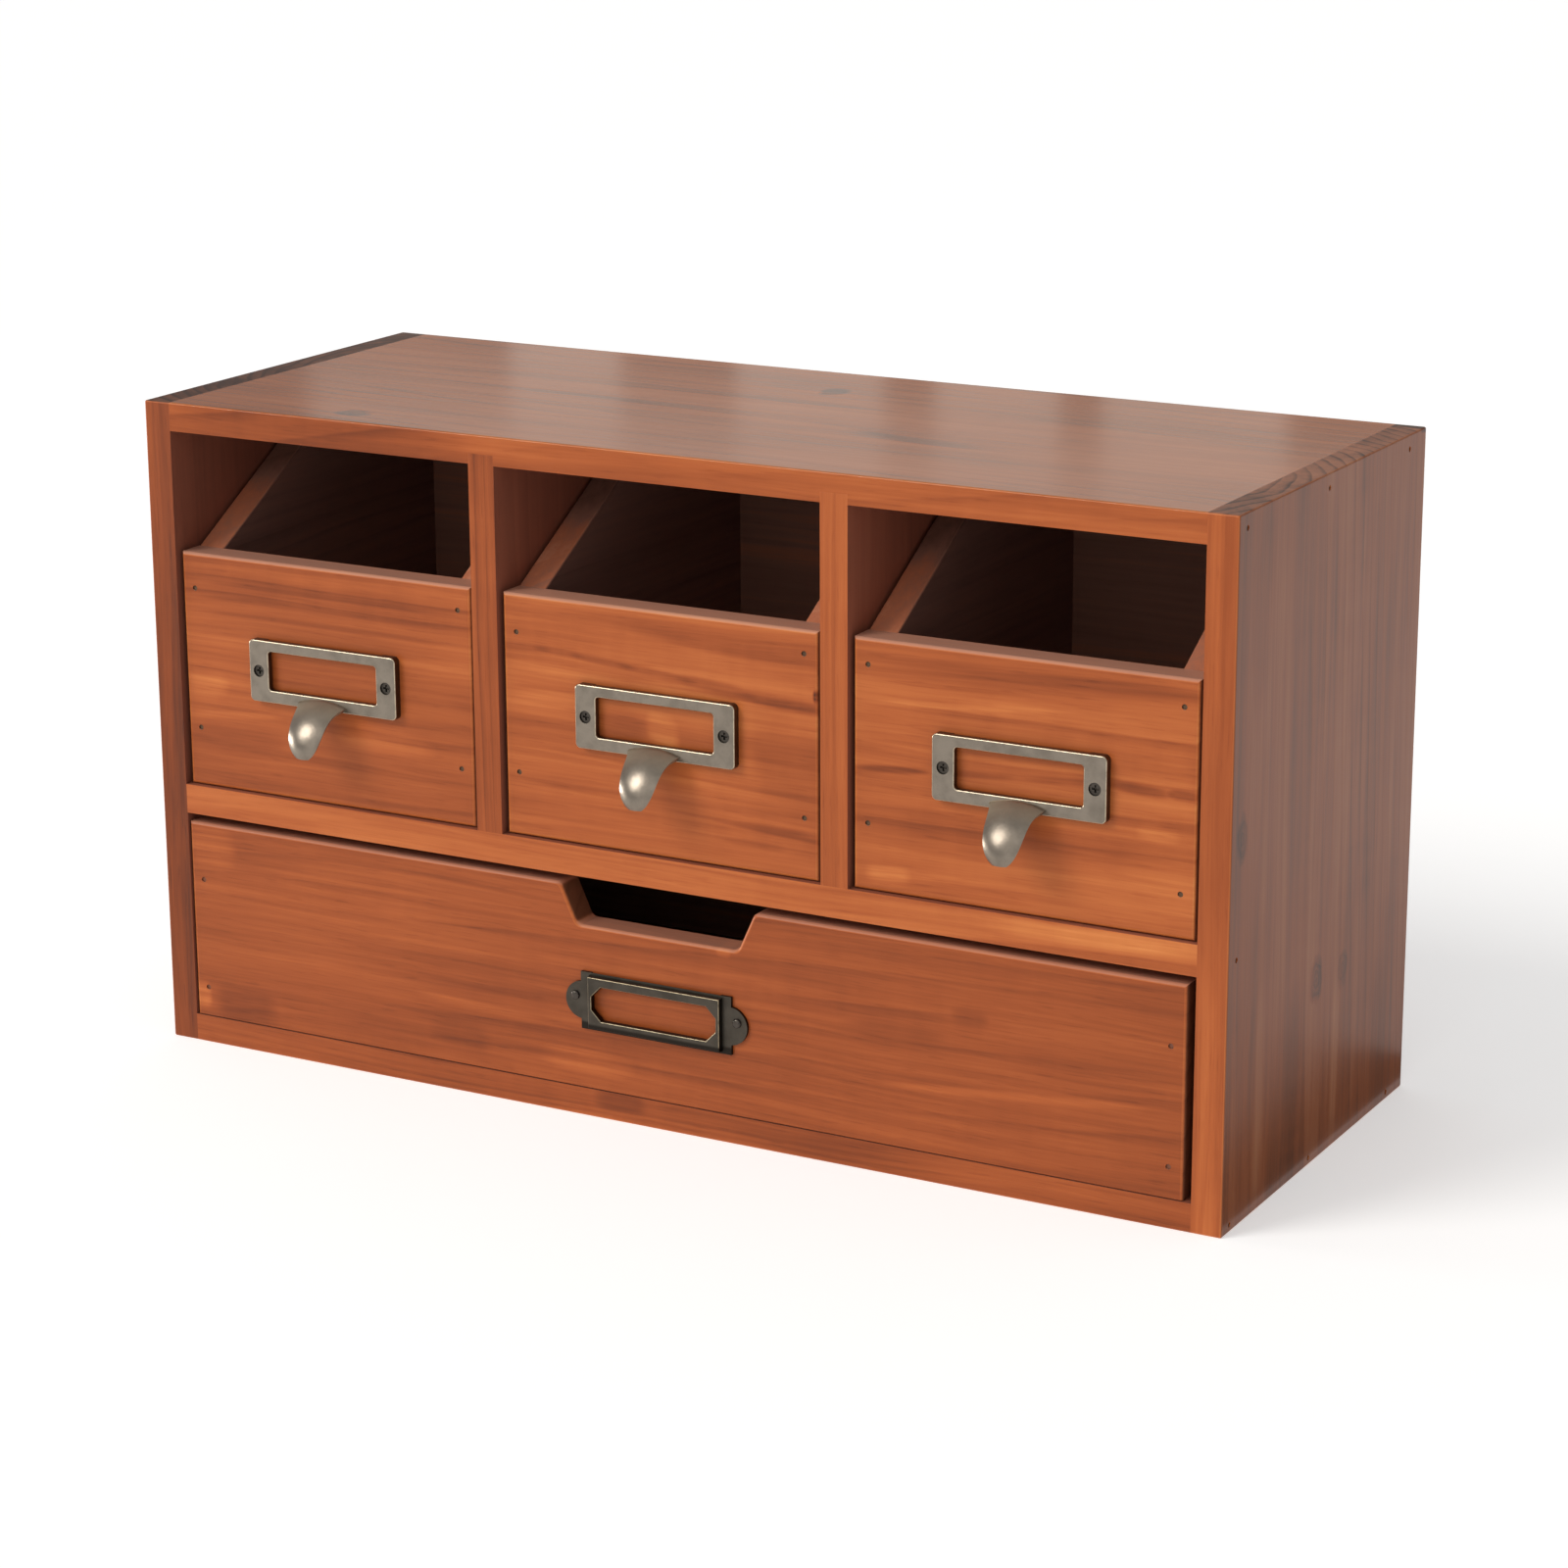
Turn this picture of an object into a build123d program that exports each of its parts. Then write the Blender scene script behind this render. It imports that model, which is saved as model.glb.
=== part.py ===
from build123d import *
import os
from math import acos, cos, pi, radians, sin, tan

# Desktop drawer organizer: a nailed board case with three tall small drawers above one wide drawer.
# Millimetres. The origin is the middle of the case's underside: +X right, +Y to the back, +Z up.

# Case
case_width = 350.0
case_depth = 136.0
case_height = 199.0
case_round = 0.6  # arris sanded on the outer edges of the assembled case
side_thickness = 9.0
top_thickness = 8.5
bottom_thickness = 8.5
shelf_thickness = 9.0
divider_thickness = 8.5
lower_bay_height = 64.5  # from the bottom board up to the shelf
housing_depth = 3.0  # how far a divider is let into the top board
back_thickness = 3.0
rabbet_width = 4.5  # ledge that carries the edge of the back panel
back_clearance = 0.2  # all round the back panel in its rabbet

# Boards of every drawer
front_thickness = 9.0
front_round = 1.2  # eased edge round the face of a front
drawer_side_thickness = 9.0
drawer_side_round = 0.6  # arris along the top of a side
drawer_back_thickness = 8.5
drawer_bottom_thickness = 3.5
drawer_bottom_rise = 4.0  # from a drawer's lower edge to its bottom panel
groove_depth = 3.0  # groove that holds the bottom panel
groove_clearance = 0.15
drawer_lift = 0.3  # running gap under a drawer
drawer_rear_gap = 1.3  # between a closed drawer and the back panel

# Small drawers
small_names = ("left", "middle", "right")
small_gap = 1.2  # each side of a small drawer in its bay
small_recess = 1.2  # how far the fronts stand back from the case
small_front_share = 0.661  # of the upper bay's height
small_headroom = 4.0  # from the tall back of a drawer up to the top board
small_slope_angle = 30.5  # degrees, rise of the side's top edge behind the front
small_nail_shares = (  # of each front's height: upper and lower nail at its left, then at its right
    ((0.85, 0.25), (0.9, 0.24)),
    ((0.843, 0.264), (0.906, 0.25)),
    ((0.897, 0.269), (0.891, 0.175)),
)

# Wide drawer
wide_left_gap = 0.3  # the drawer lies against the left side of its bay
wide_right_gap = 2.5
wide_recess = 0.3
wide_headroom = 2.7  # from the front's top edge up to the shelf
wide_side_height = 54.0
wide_nail_shares = ((0.707, 0.146), (0.707, 0.146))  # as for the small fronts
notch_top_width = 64.0  # finger notch in the front's top edge
notch_bottom_width = 53.0
notch_depth = 12.0
notch_round = 2.5

# Nails
nail_diameter = 1.5
nail_sink = 0.4  # how far a head is punched below the wood
nail_bite = 10.0  # how far a nail goes into the second board
nail_clearance = 0.05  # round a nail in its hole
case_nail_front = 5.5  # from the case's front edge to the first nail
case_nail_rear = 13.0  # from the case's rear edge to the last nail
case_nail_middle_share = 0.458  # of the case's depth
bottom_nail_share = 0.26  # of the bottom board's thickness
drawer_back_nail_shares = (0.2, 0.8)  # of the height of a drawer's back
brad_diameter = 1.0
brad_bite = 9.0
back_brad_shares = (0.06, 0.5, 0.94)  # of the back panel's width and height

# Cast label pull
pull_width = 52.0
pull_height = 18.8
pull_thickness = 2.6
pull_corner = 1.5
pull_edge_round = 0.45
pull_rise_share = 0.5425  # of the front's height, from its lower edge to the middle of the plate
window_side_rail = 6.8  # from the plate's left and right edges to the window
window_top_rail = 3.2
window_lower_rail = 3.8
window_corner = 1.0
card_recess = 0.8  # pocket behind the plate, where the card slides in from above
card_margin = 1.3  # how far the pocket goes past the window

# Hooked tongue of the pull
tongue_width = 12.5
tongue_thickness = 2.6
tongue_reach = 11.0  # from the plate's face out to the middle of the tip
tongue_drop = 12.2  # from the plate's lower edge down to the tip
tongue_root = 1.2  # how deep the tongue is rooted in the plate
tongue_station_shares = (0.0, 0.1, 0.3, 0.55, 0.78, 0.92, 1.0)  # of the arc from root to tip
tongue_width_shares = (1.55, 1.3, 1.08, 0.98, 0.83, 0.6, 0.34)
tongue_thickness_shares = (1.25, 1.1, 1.0, 1.0, 1.0, 0.85, 0.45)
tongue_flat_share = 0.86  # of the width, the flat underside
tongue_crown_share = 0.5  # of the thickness, the height of the crown's shoulders

# Screws of the pull
screw_diameter = 2.0
screw_head_diameter = 3.6
screw_head_rim = 0.3
screw_sink = 0.5  # from the plate's face to the top of the head
screw_tip_cover = 1.5  # wood left in front of the tip
screw_cross_length = 2.1
screw_cross_width = 0.6
screw_cross_depth = 0.7
screw_clearance = 0.05

# Pressed label frame of the wide drawer
frame_width = 50.0
frame_height = 17.4
frame_flange = 1.0  # thickness of the flat rim and ears
frame_relief = 2.7  # from the wood to the raised face
frame_end_rim = 2.8  # flat rim at each end of the raised part
frame_long_rim = 0.5  # flat rim above and below the raised part
frame_slope = 0.4  # how far the raised part draws in
frame_round = 0.35  # soft edges of the raised face and its window
frame_rise = 27.1  # from the front's lower edge to the middle of the frame
frame_ear_radius = 5.7
frame_ear_reach = 5.2  # how far an ear stands out from the rim
frame_end_rail = 1.1  # raised face between its left or right end and the window
frame_long_rail = 2.6  # raised face above and below the window
frame_window_chamfer = 3.2
pin_diameter = 1.2
pin_head_diameter = 2.8
pin_head_height = 0.8
pin_head_round = 0.7
pin_bite = 5.0
pin_inset = 3.3  # from the tip of an ear to the pin
pin_lift = 1.2  # from the middle of the frame up to the pins
pin_clearance = 0.05

overrun = 1.0  # how far a cutter goes past the face that it opens

# Places worked out from the sizes above
left_x = -case_width / 2
right_x = case_width / 2
front_y = -case_depth / 2
back_y = case_depth / 2
inner_left_x = left_x + side_thickness
inner_right_x = right_x - side_thickness
panel_y = back_y - back_thickness
shelf_low_z = bottom_thickness + lower_bay_height
shelf_top_z = shelf_low_z + shelf_thickness
top_low_z = case_height - top_thickness
small_front_height = (top_low_z - shelf_top_z) * small_front_share
window_width = pull_width - 2 * window_side_rail
window_height = pull_height - window_top_rail - window_lower_rail
raised_width = frame_width - 2 * frame_end_rim
raised_height = frame_height - 2 * frame_long_rim
frame_face_width = raised_width - 2 * frame_slope
frame_face_height = raised_height - 2 * frame_slope
frame_window_width = frame_face_width - 2 * frame_end_rail
frame_window_height = frame_face_height - 2 * frame_long_rail
bay_width = (inner_right_x - inner_left_x - 2 * divider_thickness) / len(small_names)
bay_pitch = bay_width + divider_thickness
drawer_end_y = panel_y - drawer_rear_gap
outward = (0, -1, 0)
inward = (0, 1, 0)


def block(low, high):
    """A square-edged board between two corners."""
    size = [b - a for a, b in zip(low, high)]
    return Pos(*low) * Box(*size, align=(Align.MIN, Align.MIN, Align.MIN))


def rod(diameter, length, start, direction):
    """A round rod from its outer end, going in along the direction."""
    return Solid.make_cylinder(diameter / 2, length, Plane(origin=start, z_dir=direction))


def nails(points, direction, diameter, length):
    """Nails whose heads are punched a little below the wood at each point."""
    heads = [Vector(*point) + Vector(*direction) * nail_sink for point in points]
    return [rod(diameter, length, head, direction) for head in heads]


def nail_holes(points, direction, diameter, length):
    """The holes that those nails stand in, open at the wood's face."""
    mouths = [Vector(*point) - Vector(*direction) * overrun for point in points]
    depth = overrun + nail_sink + length
    return [rod(diameter + 2 * nail_clearance, depth, mouth, direction) for mouth in mouths]


# Case nails

def case_nail_groups():
    """Nail points, direction and length of each row in the case."""
    first_y = front_y + case_nail_front
    middle_y = front_y + case_depth * case_nail_middle_share
    last_y = back_y - case_nail_rear
    rows = [
        (case_height - top_thickness / 2, (first_y, middle_y, last_y)),
        (shelf_top_z - shelf_thickness / 2, (first_y,)),
        (bottom_thickness * bottom_nail_share, (first_y, middle_y, last_y)),
    ]
    groups = []
    for z, places in rows:
        groups.append(([(left_x, y, z) for y in places], (1, 0, 0), side_thickness + nail_bite))
        groups.append(([(right_x, y, z) for y in places], (-1, 0, 0), side_thickness + nail_bite))
    divider_points = [(x, y, shelf_low_z) for x in divider_places() for y in (first_y, last_y)]
    groups.append((divider_points, (0, 0, 1), shelf_thickness + nail_bite))
    return groups


def back_brad_points():
    """Points of the brads on the rear face of the back panel, in the middle of each ledge."""
    half = rabbet_width / 2
    low_x, high_x = inner_left_x - half, inner_right_x + half
    low_z, high_z = bottom_thickness - half, top_low_z + half
    along_x = [low_x + (high_x - low_x) * share for share in back_brad_shares]
    along_z = [low_z + (high_z - low_z) * share for share in back_brad_shares]
    shelf_z = shelf_top_z - shelf_thickness / 2
    points = [(x, back_y, z) for x in along_x for z in (low_z, shelf_z, high_z)]
    return points + [(x, back_y, z) for x in (low_x, high_x) for z in along_z]


def case_holes():
    """Every nail and brad hole in the case."""
    holes = []
    for points, direction, length in case_nail_groups():
        holes += nail_holes(points, direction, nail_diameter, length)
    brads = nail_holes(back_brad_points(), outward, brad_diameter, back_thickness + brad_bite)
    return holes + brads


def divider_places():
    """Middle of each divider along X."""
    first = inner_left_x + bay_width + divider_thickness / 2
    return [first + bay_pitch * i for i in range(len(small_names) - 1)]


# Case boards

def back_rabbet():
    """The room that the back panel's ledges leave, cut from the four boards round it."""
    low = (inner_left_x - rabbet_width, panel_y, bottom_thickness - rabbet_width)
    high = (inner_right_x + rabbet_width, back_y + overrun, top_low_z + rabbet_width)
    return block(low, high)


def divider(x):
    """A divider from the shelf up into its housing in the top board."""
    low = (x - divider_thickness / 2, front_y, shelf_top_z)
    high = (x + divider_thickness / 2, panel_y, top_low_z + housing_depth)
    return block(low, high)


def case_boards():
    """The boards of the case, sanded together and drilled for their nails."""
    envelope = block((left_x, front_y, 0), (right_x, back_y, case_height))
    envelope = fillet(envelope.edges(), case_round)
    left_divider, right_divider = [divider(x) for x in divider_places()]
    left = block((left_x, front_y, 0), (inner_left_x, back_y, case_height)) - back_rabbet()
    right = block((inner_right_x, front_y, 0), (right_x, back_y, case_height)) - back_rabbet()
    top = block((inner_left_x, front_y, top_low_z), (inner_right_x, back_y, case_height)) - back_rabbet()
    bottom = block((inner_left_x, front_y, 0), (inner_right_x, back_y, bottom_thickness)) - back_rabbet()
    shelf = block((inner_left_x, front_y, shelf_low_z), (inner_right_x, panel_y, shelf_top_z))
    panel_side = rabbet_width - back_clearance
    panel_low = (inner_left_x - panel_side, panel_y, bottom_thickness - panel_side)
    panel_high = (inner_right_x + panel_side, back_y, top_low_z + panel_side)
    boards = {
        "left_side_panel": left & envelope,
        "right_side_panel": right & envelope,
        "top_panel": (top - left_divider - right_divider) & envelope,
        "bottom_panel": bottom & envelope,
        "middle_shelf": shelf,
        "left_divider": left_divider,
        "right_divider": right_divider,
        "back_panel": block(panel_low, panel_high),
    }
    holes = case_holes()
    return {name: board - holes for name, board in boards.items()}


def case_nodes():
    """Boards, nails and brads of the case."""
    nodes = case_boards()
    case_nails = []
    for points, direction, length in case_nail_groups():
        case_nails += nails(points, direction, nail_diameter, length)
    nodes["case_nails"] = Compound(case_nails)
    nodes["back_nails"] = Compound(
        nails(back_brad_points(), outward, brad_diameter, back_thickness + brad_bite)
    )
    return nodes


# Drawers

def small_front(x0, x1, y, z):
    """Front board of a small drawer, eased round its face."""
    board = block((x0, y, z), (x1, y + front_thickness, z + small_front_height))
    return fillet(board.faces().sort_by(Axis.Y)[0].edges(), front_round)


def wide_front(x0, x1, y, z):
    """Front board of the wide drawer, with the finger notch in its top edge and a square lower edge."""
    width = x1 - x0
    height = wide_front_height()
    half_top, half_bottom = notch_top_width / 2, notch_bottom_width / 2
    low = height - notch_depth
    right_half = [(width / 2, 0), (width / 2, height), (half_top, height), (half_bottom, low)]
    left_half = [(-a, b) for a, b in reversed(right_half)]
    outline = Polygon(right_half + left_half)
    corners = outline.vertices().filter_by_position(Axis.X, -half_top, half_top)
    outline = fillet(corners, notch_round)
    face_plane = Plane(origin=((x0 + x1) / 2, y, z), x_dir=(1, 0, 0), z_dir=outward)
    board = extrude(face_plane * outline, -front_thickness)
    face_edges = board.faces().sort_by(Axis.Y)[0].edges().sort_by(Axis.Z)
    return fillet(face_edges[1:], front_round)


def wide_front_height():
    """Height of the wide drawer's front in its bay."""
    return lower_bay_height - drawer_lift - wide_headroom


def small_side_outline(length):
    """Outline of a small drawer's side: it slopes up behind the front to the tall back."""
    height = top_low_z - small_headroom - shelf_top_z - drawer_lift
    run = (height - small_front_height) / tan(radians(small_slope_angle))
    return [(0, 0), (length, 0), (length, height), (run, height), (0, small_front_height)]


def wide_side_outline(length):
    """Outline of the wide drawer's side."""
    return [(0, 0), (length, 0), (length, wide_side_height), (0, wide_side_height)]


def drawer_side(x, y, z, outline):
    """A drawer side cut to its outline, with an arris along its top edges."""
    profile = Plane(origin=(x, y, z), x_dir=(0, 1, 0), z_dir=(1, 0, 0)) * Polygon(outline)
    board = extrude(profile, drawer_side_thickness)
    tops = [face for face in board.faces() if face.normal_at().Z > abs(face.normal_at().Y)]
    long_edges = [edge for top in tops for edge in top.edges() if edge.tangent_at(0).X == 0]
    return fillet(long_edges, drawer_side_round)


def drawer_nail_points(x0, x1, y, z, nail_shares, front_height, back_low, back_high):
    """Nail rows of a drawer: through the front into the sides, and through the sides into the back."""
    half = drawer_side_thickness / 2
    columns = zip((x0 + half, x1 - half), nail_shares)
    front_points = [(x, y, z + front_height * share) for x, shares in columns for share in shares]
    back_middle_y = drawer_end_y - drawer_back_thickness / 2
    back_heights = [back_low + (back_high - back_low) * share for share in drawer_back_nail_shares]
    front_length = front_thickness + nail_bite
    side_length = drawer_side_thickness + nail_bite
    return [
        (front_points, inward, front_length),
        ([(x0, back_middle_y, height) for height in back_heights], (1, 0, 0), side_length),
        ([(x1, back_middle_y, height) for height in back_heights], (-1, 0, 0), side_length),
    ]


def drawer_nodes(name, x0, x1, y, z, front, outline_of, nail_shares, front_height):
    """The five boards and the nails of one drawer, placed closed in its bay."""
    side_y = y + front_thickness
    outline = outline_of(drawer_end_y - side_y)
    back_high = z + max(height for _, height in outline)
    inner_x0, inner_x1 = x0 + drawer_side_thickness, x1 - drawer_side_thickness
    bottom_z = z + drawer_bottom_rise
    back_low = bottom_z + drawer_bottom_thickness
    groove_low = (inner_x0 - groove_depth, side_y - groove_depth, bottom_z - groove_clearance)
    groove_high = (inner_x1 + groove_depth, drawer_end_y + overrun, back_low)
    groove = block(groove_low, groove_high)
    side_room = groove_depth - groove_clearance
    bottom = block(
        (inner_x0 - side_room, side_y - side_room, bottom_z),
        (inner_x1 + side_room, drawer_end_y, back_low),
    )
    back_y0 = drawer_end_y - drawer_back_thickness
    boards = {
        "front": front - groove,
        "left_side": drawer_side(x0, side_y, z, outline) - groove,
        "right_side": drawer_side(inner_x1, side_y, z, outline) - groove,
        "back": block((inner_x0, back_y0, back_low), (inner_x1, drawer_end_y, back_high)),
        "bottom": bottom,
    }
    rows = drawer_nail_points(x0, x1, y, z, nail_shares, front_height, back_low, back_high)
    holes = []
    drawer_nails = []
    for points, direction, length in rows:
        holes += nail_holes(points, direction, nail_diameter, length)
        drawer_nails += nails(points, direction, nail_diameter, length)
    nodes = {f"{name}_drawer_{piece}": board - holes for piece, board in boards.items()}
    nodes[f"{name}_drawer_nails"] = Compound(drawer_nails)
    return nodes


# Cast label pull, made about the middle of its plate with the wood at Y = 0

def screw_place():
    """Distance of each screw from the middle of the plate, in the middle of a side rail."""
    return (window_width / 2 + pull_width / 2) / 2


def screw_tip():
    """Depth of the screw's tip below the wood's face."""
    return front_thickness - screw_tip_cover


def screw_solid(growth, top):
    """A countersunk screw along Z with its head upward, or with growth the hole that it goes in."""
    head = screw_head_diameter / 2 + growth
    shank = screw_diameter / 2 + growth
    head_z = pull_thickness - screw_sink
    cone_z = head_z - screw_head_rim
    shank_z = cone_z - (screw_head_diameter - screw_diameter) / 2
    tip_z = -screw_tip()
    profile = Polygon((0, tip_z), (shank, tip_z), (shank, shank_z), (head, cone_z), (head, top), (0, top))
    return revolve(Plane.XZ * profile, Axis.Z)


def pull_screws():
    """The two cross-headed screws of a pull."""
    head_z = pull_thickness - screw_sink
    slot_low = (-screw_cross_length / 2, -screw_cross_width / 2, head_z - screw_cross_depth)
    slot_high = (screw_cross_length / 2, screw_cross_width / 2, head_z + overrun)
    slot = block(slot_low, slot_high)
    screw = screw_solid(0, head_z) - [slot, Rot(0, 0, 90) * slot]
    return [Plane(origin=(x, 0, 0), z_dir=outward) * screw for x in (-screw_place(), screw_place())]


def pull_screw_holes():
    """Countersunk holes for the screws, through the plate and into the wood."""
    hole = screw_solid(screw_clearance, pull_thickness + overrun)
    return [Plane(origin=(x, 0, 0), z_dir=outward) * hole for x in (-screw_place(), screw_place())]


def tongue_section(plane, width, thickness):
    """Crowned cross-section of the tongue: flat below, straight at the sides and arched above."""
    half = width / 2
    flat = half * tongue_flat_share
    low = -thickness / 2
    high = low + thickness * tongue_crown_share
    edges = [
        Line((-flat, low), (flat, low)),
        Line((flat, low), (half, high)),
        ThreePointArc((half, high), (0, low + thickness), (-half, high)),
        Line((-half, high), (-flat, low)),
    ]
    return plane * make_face(edges)


def tongue():
    """The hooked tongue: it leaves the lower rail, bends over in an arc and hangs straight at its tip."""
    reach = tongue_reach + tongue_root
    fall = tongue_drop + window_lower_rail / 2
    radius = (reach ** 2 + fall ** 2) / (2 * reach)
    tip_y = -pull_thickness - tongue_reach
    tip_z = -pull_height / 2 - tongue_drop
    root_angle = acos((reach - radius) / radius)
    sections = []
    rows = zip(tongue_station_shares, tongue_width_shares, tongue_thickness_shares)
    for station, width_share, thickness_share in rows:
        angle = root_angle + (pi - root_angle) * station
        middle = (0, tip_y + radius + radius * cos(angle), tip_z + radius * sin(angle))
        along = (0, -sin(angle), cos(angle))
        plane = Plane(origin=middle, x_dir=(1, 0, 0), z_dir=along)
        width = tongue_width * width_share
        thickness = tongue_thickness * thickness_share
        sections.append(tongue_section(plane, width, thickness))
    return loft(sections)


def label_pull():
    """Plate with a label window, a card pocket behind it, countersunk holes and the hooked tongue."""
    plate = extrude(Plane.XZ * RectangleRounded(pull_width, pull_height, pull_corner), pull_thickness)
    window_z = pull_height / 2 - window_top_rail - window_height / 2
    window = Plane.XZ * Pos(0, window_z) * RectangleRounded(window_width, window_height, window_corner)
    plate -= extrude(window, pull_thickness + overrun, both=True)
    plate = fillet(plate.faces().sort_by(Axis.Y)[0].edges(), pull_edge_round)
    pocket_half = window_width / 2 + card_margin
    pocket_low = (-pocket_half, -card_recess, window_z - window_height / 2 - card_margin)
    pocket_high = (pocket_half, overrun, pull_height / 2 + overrun)
    plate -= block(pocket_low, pocket_high)
    return plate - pull_screw_holes() + tongue()


# Pressed label frame, made about its middle with the wood at Y = 0

def frame_pin_places():
    """Where each pin goes in, along X and Z from the middle of the frame."""
    reach = frame_width / 2 + frame_ear_reach - pin_inset
    return [(-reach, pin_lift), (reach, pin_lift)]


def label_frame():
    """Flat rim with two round ears, and a raised eight-sided window with a card pocket behind it."""
    ear_x = frame_width / 2 + frame_ear_reach - frame_ear_radius
    rim = Rectangle(frame_width, frame_height)
    rim += [Pos(x, 0) * Circle(frame_ear_radius) for x in (-ear_x, ear_x)]
    base = Plane.XZ * Rectangle(raised_width, raised_height)
    face = Plane.XZ.offset(frame_relief) * Rectangle(frame_face_width, frame_face_height)
    frame = extrude(Plane.XZ * rim, frame_flange) + loft([base, face])
    window = Rectangle(frame_window_width, frame_window_height)
    window = chamfer(window.vertices(), frame_window_chamfer)
    frame -= extrude(Plane.XZ * window, frame_relief + overrun, both=True)
    frame = fillet(frame.faces().sort_by(Axis.Y)[0].edges(), frame_round)
    pocket_half = frame_window_width / 2 + card_recess
    pocket_low = (-pocket_half, -card_recess, -frame_window_height / 2 - card_recess)
    pocket_high = (pocket_half, overrun, frame_height / 2 + overrun)
    frame -= block(pocket_low, pocket_high)
    return frame - frame_pin_holes()


def frame_pins():
    """The two round-headed pins of the label frame."""
    head = rod(pin_head_diameter, pin_head_height, (0, -frame_flange, 0), outward)
    head = fillet(head.edges().group_by(Axis.Y)[0], pin_head_round)
    pin = head + rod(pin_diameter, frame_flange + pin_bite, (0, -frame_flange, 0), inward)
    return [Pos(x, 0, z) * pin for x, z in frame_pin_places()]


def frame_pin_holes():
    """Holes for the pins, through the ears and into the wood."""
    diameter = pin_diameter + 2 * pin_clearance
    mouth = -frame_flange - overrun
    length = frame_flange + overrun + pin_bite
    return [rod(diameter, length, (x, mouth, z), inward) for x, z in frame_pin_places()]


# Whole drawers

def small_drawer(name, index):
    """One small drawer with its pull, closed in its bay."""
    x0 = inner_left_x + bay_pitch * index + small_gap
    x1 = inner_left_x + bay_pitch * index + bay_width - small_gap
    y = front_y + small_recess
    z = shelf_top_z + drawer_lift
    pull_at = Pos((x0 + x1) / 2, y, z + small_front_height * pull_rise_share)
    front = small_front(x0, x1, y, z) - [pull_at * hole for hole in pull_screw_holes()]
    nail_shares = small_nail_shares[index]
    nodes = drawer_nodes(name, x0, x1, y, z, front, small_side_outline, nail_shares, small_front_height)
    nodes[f"{name}_label_pull"] = pull_at * label_pull()
    nodes[f"{name}_pull_screws"] = Compound([pull_at * screw for screw in pull_screws()])
    return nodes


def wide_drawer():
    """The wide drawer with its label frame, closed in its bay."""
    x0 = inner_left_x + wide_left_gap
    x1 = inner_right_x - wide_right_gap
    y = front_y + wide_recess
    z = bottom_thickness + drawer_lift
    frame_at = Pos((x0 + x1) / 2, y, z + frame_rise)
    front = wide_front(x0, x1, y, z) - [frame_at * hole for hole in frame_pin_holes()]
    front_height = wide_front_height()
    nodes = drawer_nodes("wide", x0, x1, y, z, front, wide_side_outline, wide_nail_shares, front_height)
    nodes["wide_label_frame"] = frame_at * label_frame()
    nodes["wide_frame_pins"] = Compound([frame_at * pin for pin in frame_pins()])
    return nodes


def main():
    """Write one STEP file for each piece."""
    nodes = case_nodes()
    for index, name in enumerate(small_names):
        nodes.update(small_drawer(name, index))
    nodes.update(wide_drawer())
    os.makedirs("parts", exist_ok=True)
    for name, shape in nodes.items():
        export_step(shape, f"parts/{name}.step")


main()
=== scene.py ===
from math import cos, pi, radians, sin

import bpy
from mathutils import Matrix, Vector


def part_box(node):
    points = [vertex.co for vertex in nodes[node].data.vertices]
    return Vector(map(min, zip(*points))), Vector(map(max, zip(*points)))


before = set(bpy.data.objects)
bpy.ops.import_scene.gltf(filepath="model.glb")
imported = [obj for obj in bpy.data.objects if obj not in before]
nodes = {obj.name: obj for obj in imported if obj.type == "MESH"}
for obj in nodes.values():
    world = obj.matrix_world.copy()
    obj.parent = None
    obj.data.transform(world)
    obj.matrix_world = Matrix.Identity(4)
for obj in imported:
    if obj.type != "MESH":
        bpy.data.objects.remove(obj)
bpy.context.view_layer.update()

# Directions and axes
left, right = (-1.0, 0.0, 0.0), (1.0, 0.0, 0.0)
front, back = (0.0, -1.0, 0.0), (0.0, 1.0, 0.0)
down, up = (0.0, 0.0, -1.0), (0.0, 0.0, 1.0)
axis_index = {"X": 0, "Y": 1, "Z": 2}

# Camera, solved from the straight edges of the case (degrees and metres)
camera_yaw = -29.002
camera_pitch = -15.892
camera_roll = -0.271
camera_place = (0.56782, -1.01826, 0.41899)
camera_sensor = 36.0  # mm
camera_focal_share = 4155.1 / 1600  # focal length over the picture's width

# Lamps: direction from the object, strength, and spread in degrees
lamp_colour = (1.0, 0.97, 0.93)
key_from = (-0.5, -0.62, 0.6)
key_strength = 1.56
key_spread = 28.0
fill_from = (0.12, -0.84, 0.5)
fill_strength = 0.62
fill_spread = 60.0

# Low lamp at the left, which grazes the fronts and lights what faces left (metres and watts)
rim_from = (-1.0, -0.14, 0.0)
rim_place = (-1.19, -0.245, 0.115)  # below the height of the top board, which would mirror it
rim_size = (0.33, 0.15)
rim_power = 5.0

# Room, with a dimmer wall behind the object
room_colour = (0.40, 0.405, 0.42)
rear_wall_colour = (0.28, 0.27, 0.26)
rear_wall_from = (-0.05, 0.95, 0.27)  # direction from the object to the wall's middle
rear_wall_edge = 0.45  # cosine of the angle from there at which the wall gives way to the room

# Window behind the case (metres)
window_place = 0.55  # behind the case's middle
window_bottom = 0.25
window_bar = 0.32
window_top = 0.75
upper_pane = (-0.56, 0.15)  # left and right ends
lower_panes = [(-0.445, -0.385), (-0.325, -0.25), (-0.225, -0.165), (-0.145, -0.06)]
window_glow = 0.5
window_colour = (1.0, 0.95, 0.86)

# Floor, and a dark card beside the case that its right side mirrors: a painted contact shadow seen only in
# reflections (metres)
floor_half = 14.0
floor_colour = (0.8, 0.8, 0.795, 1)
floor_glow = 0.5
floor_roughness = 0.9
card_x = (0.176, 0.205)
card_y = (-0.08, 0.09)
card_lift = 0.002
shadow_card_colour = (0.12, 0.10, 0.09, 1)
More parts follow.
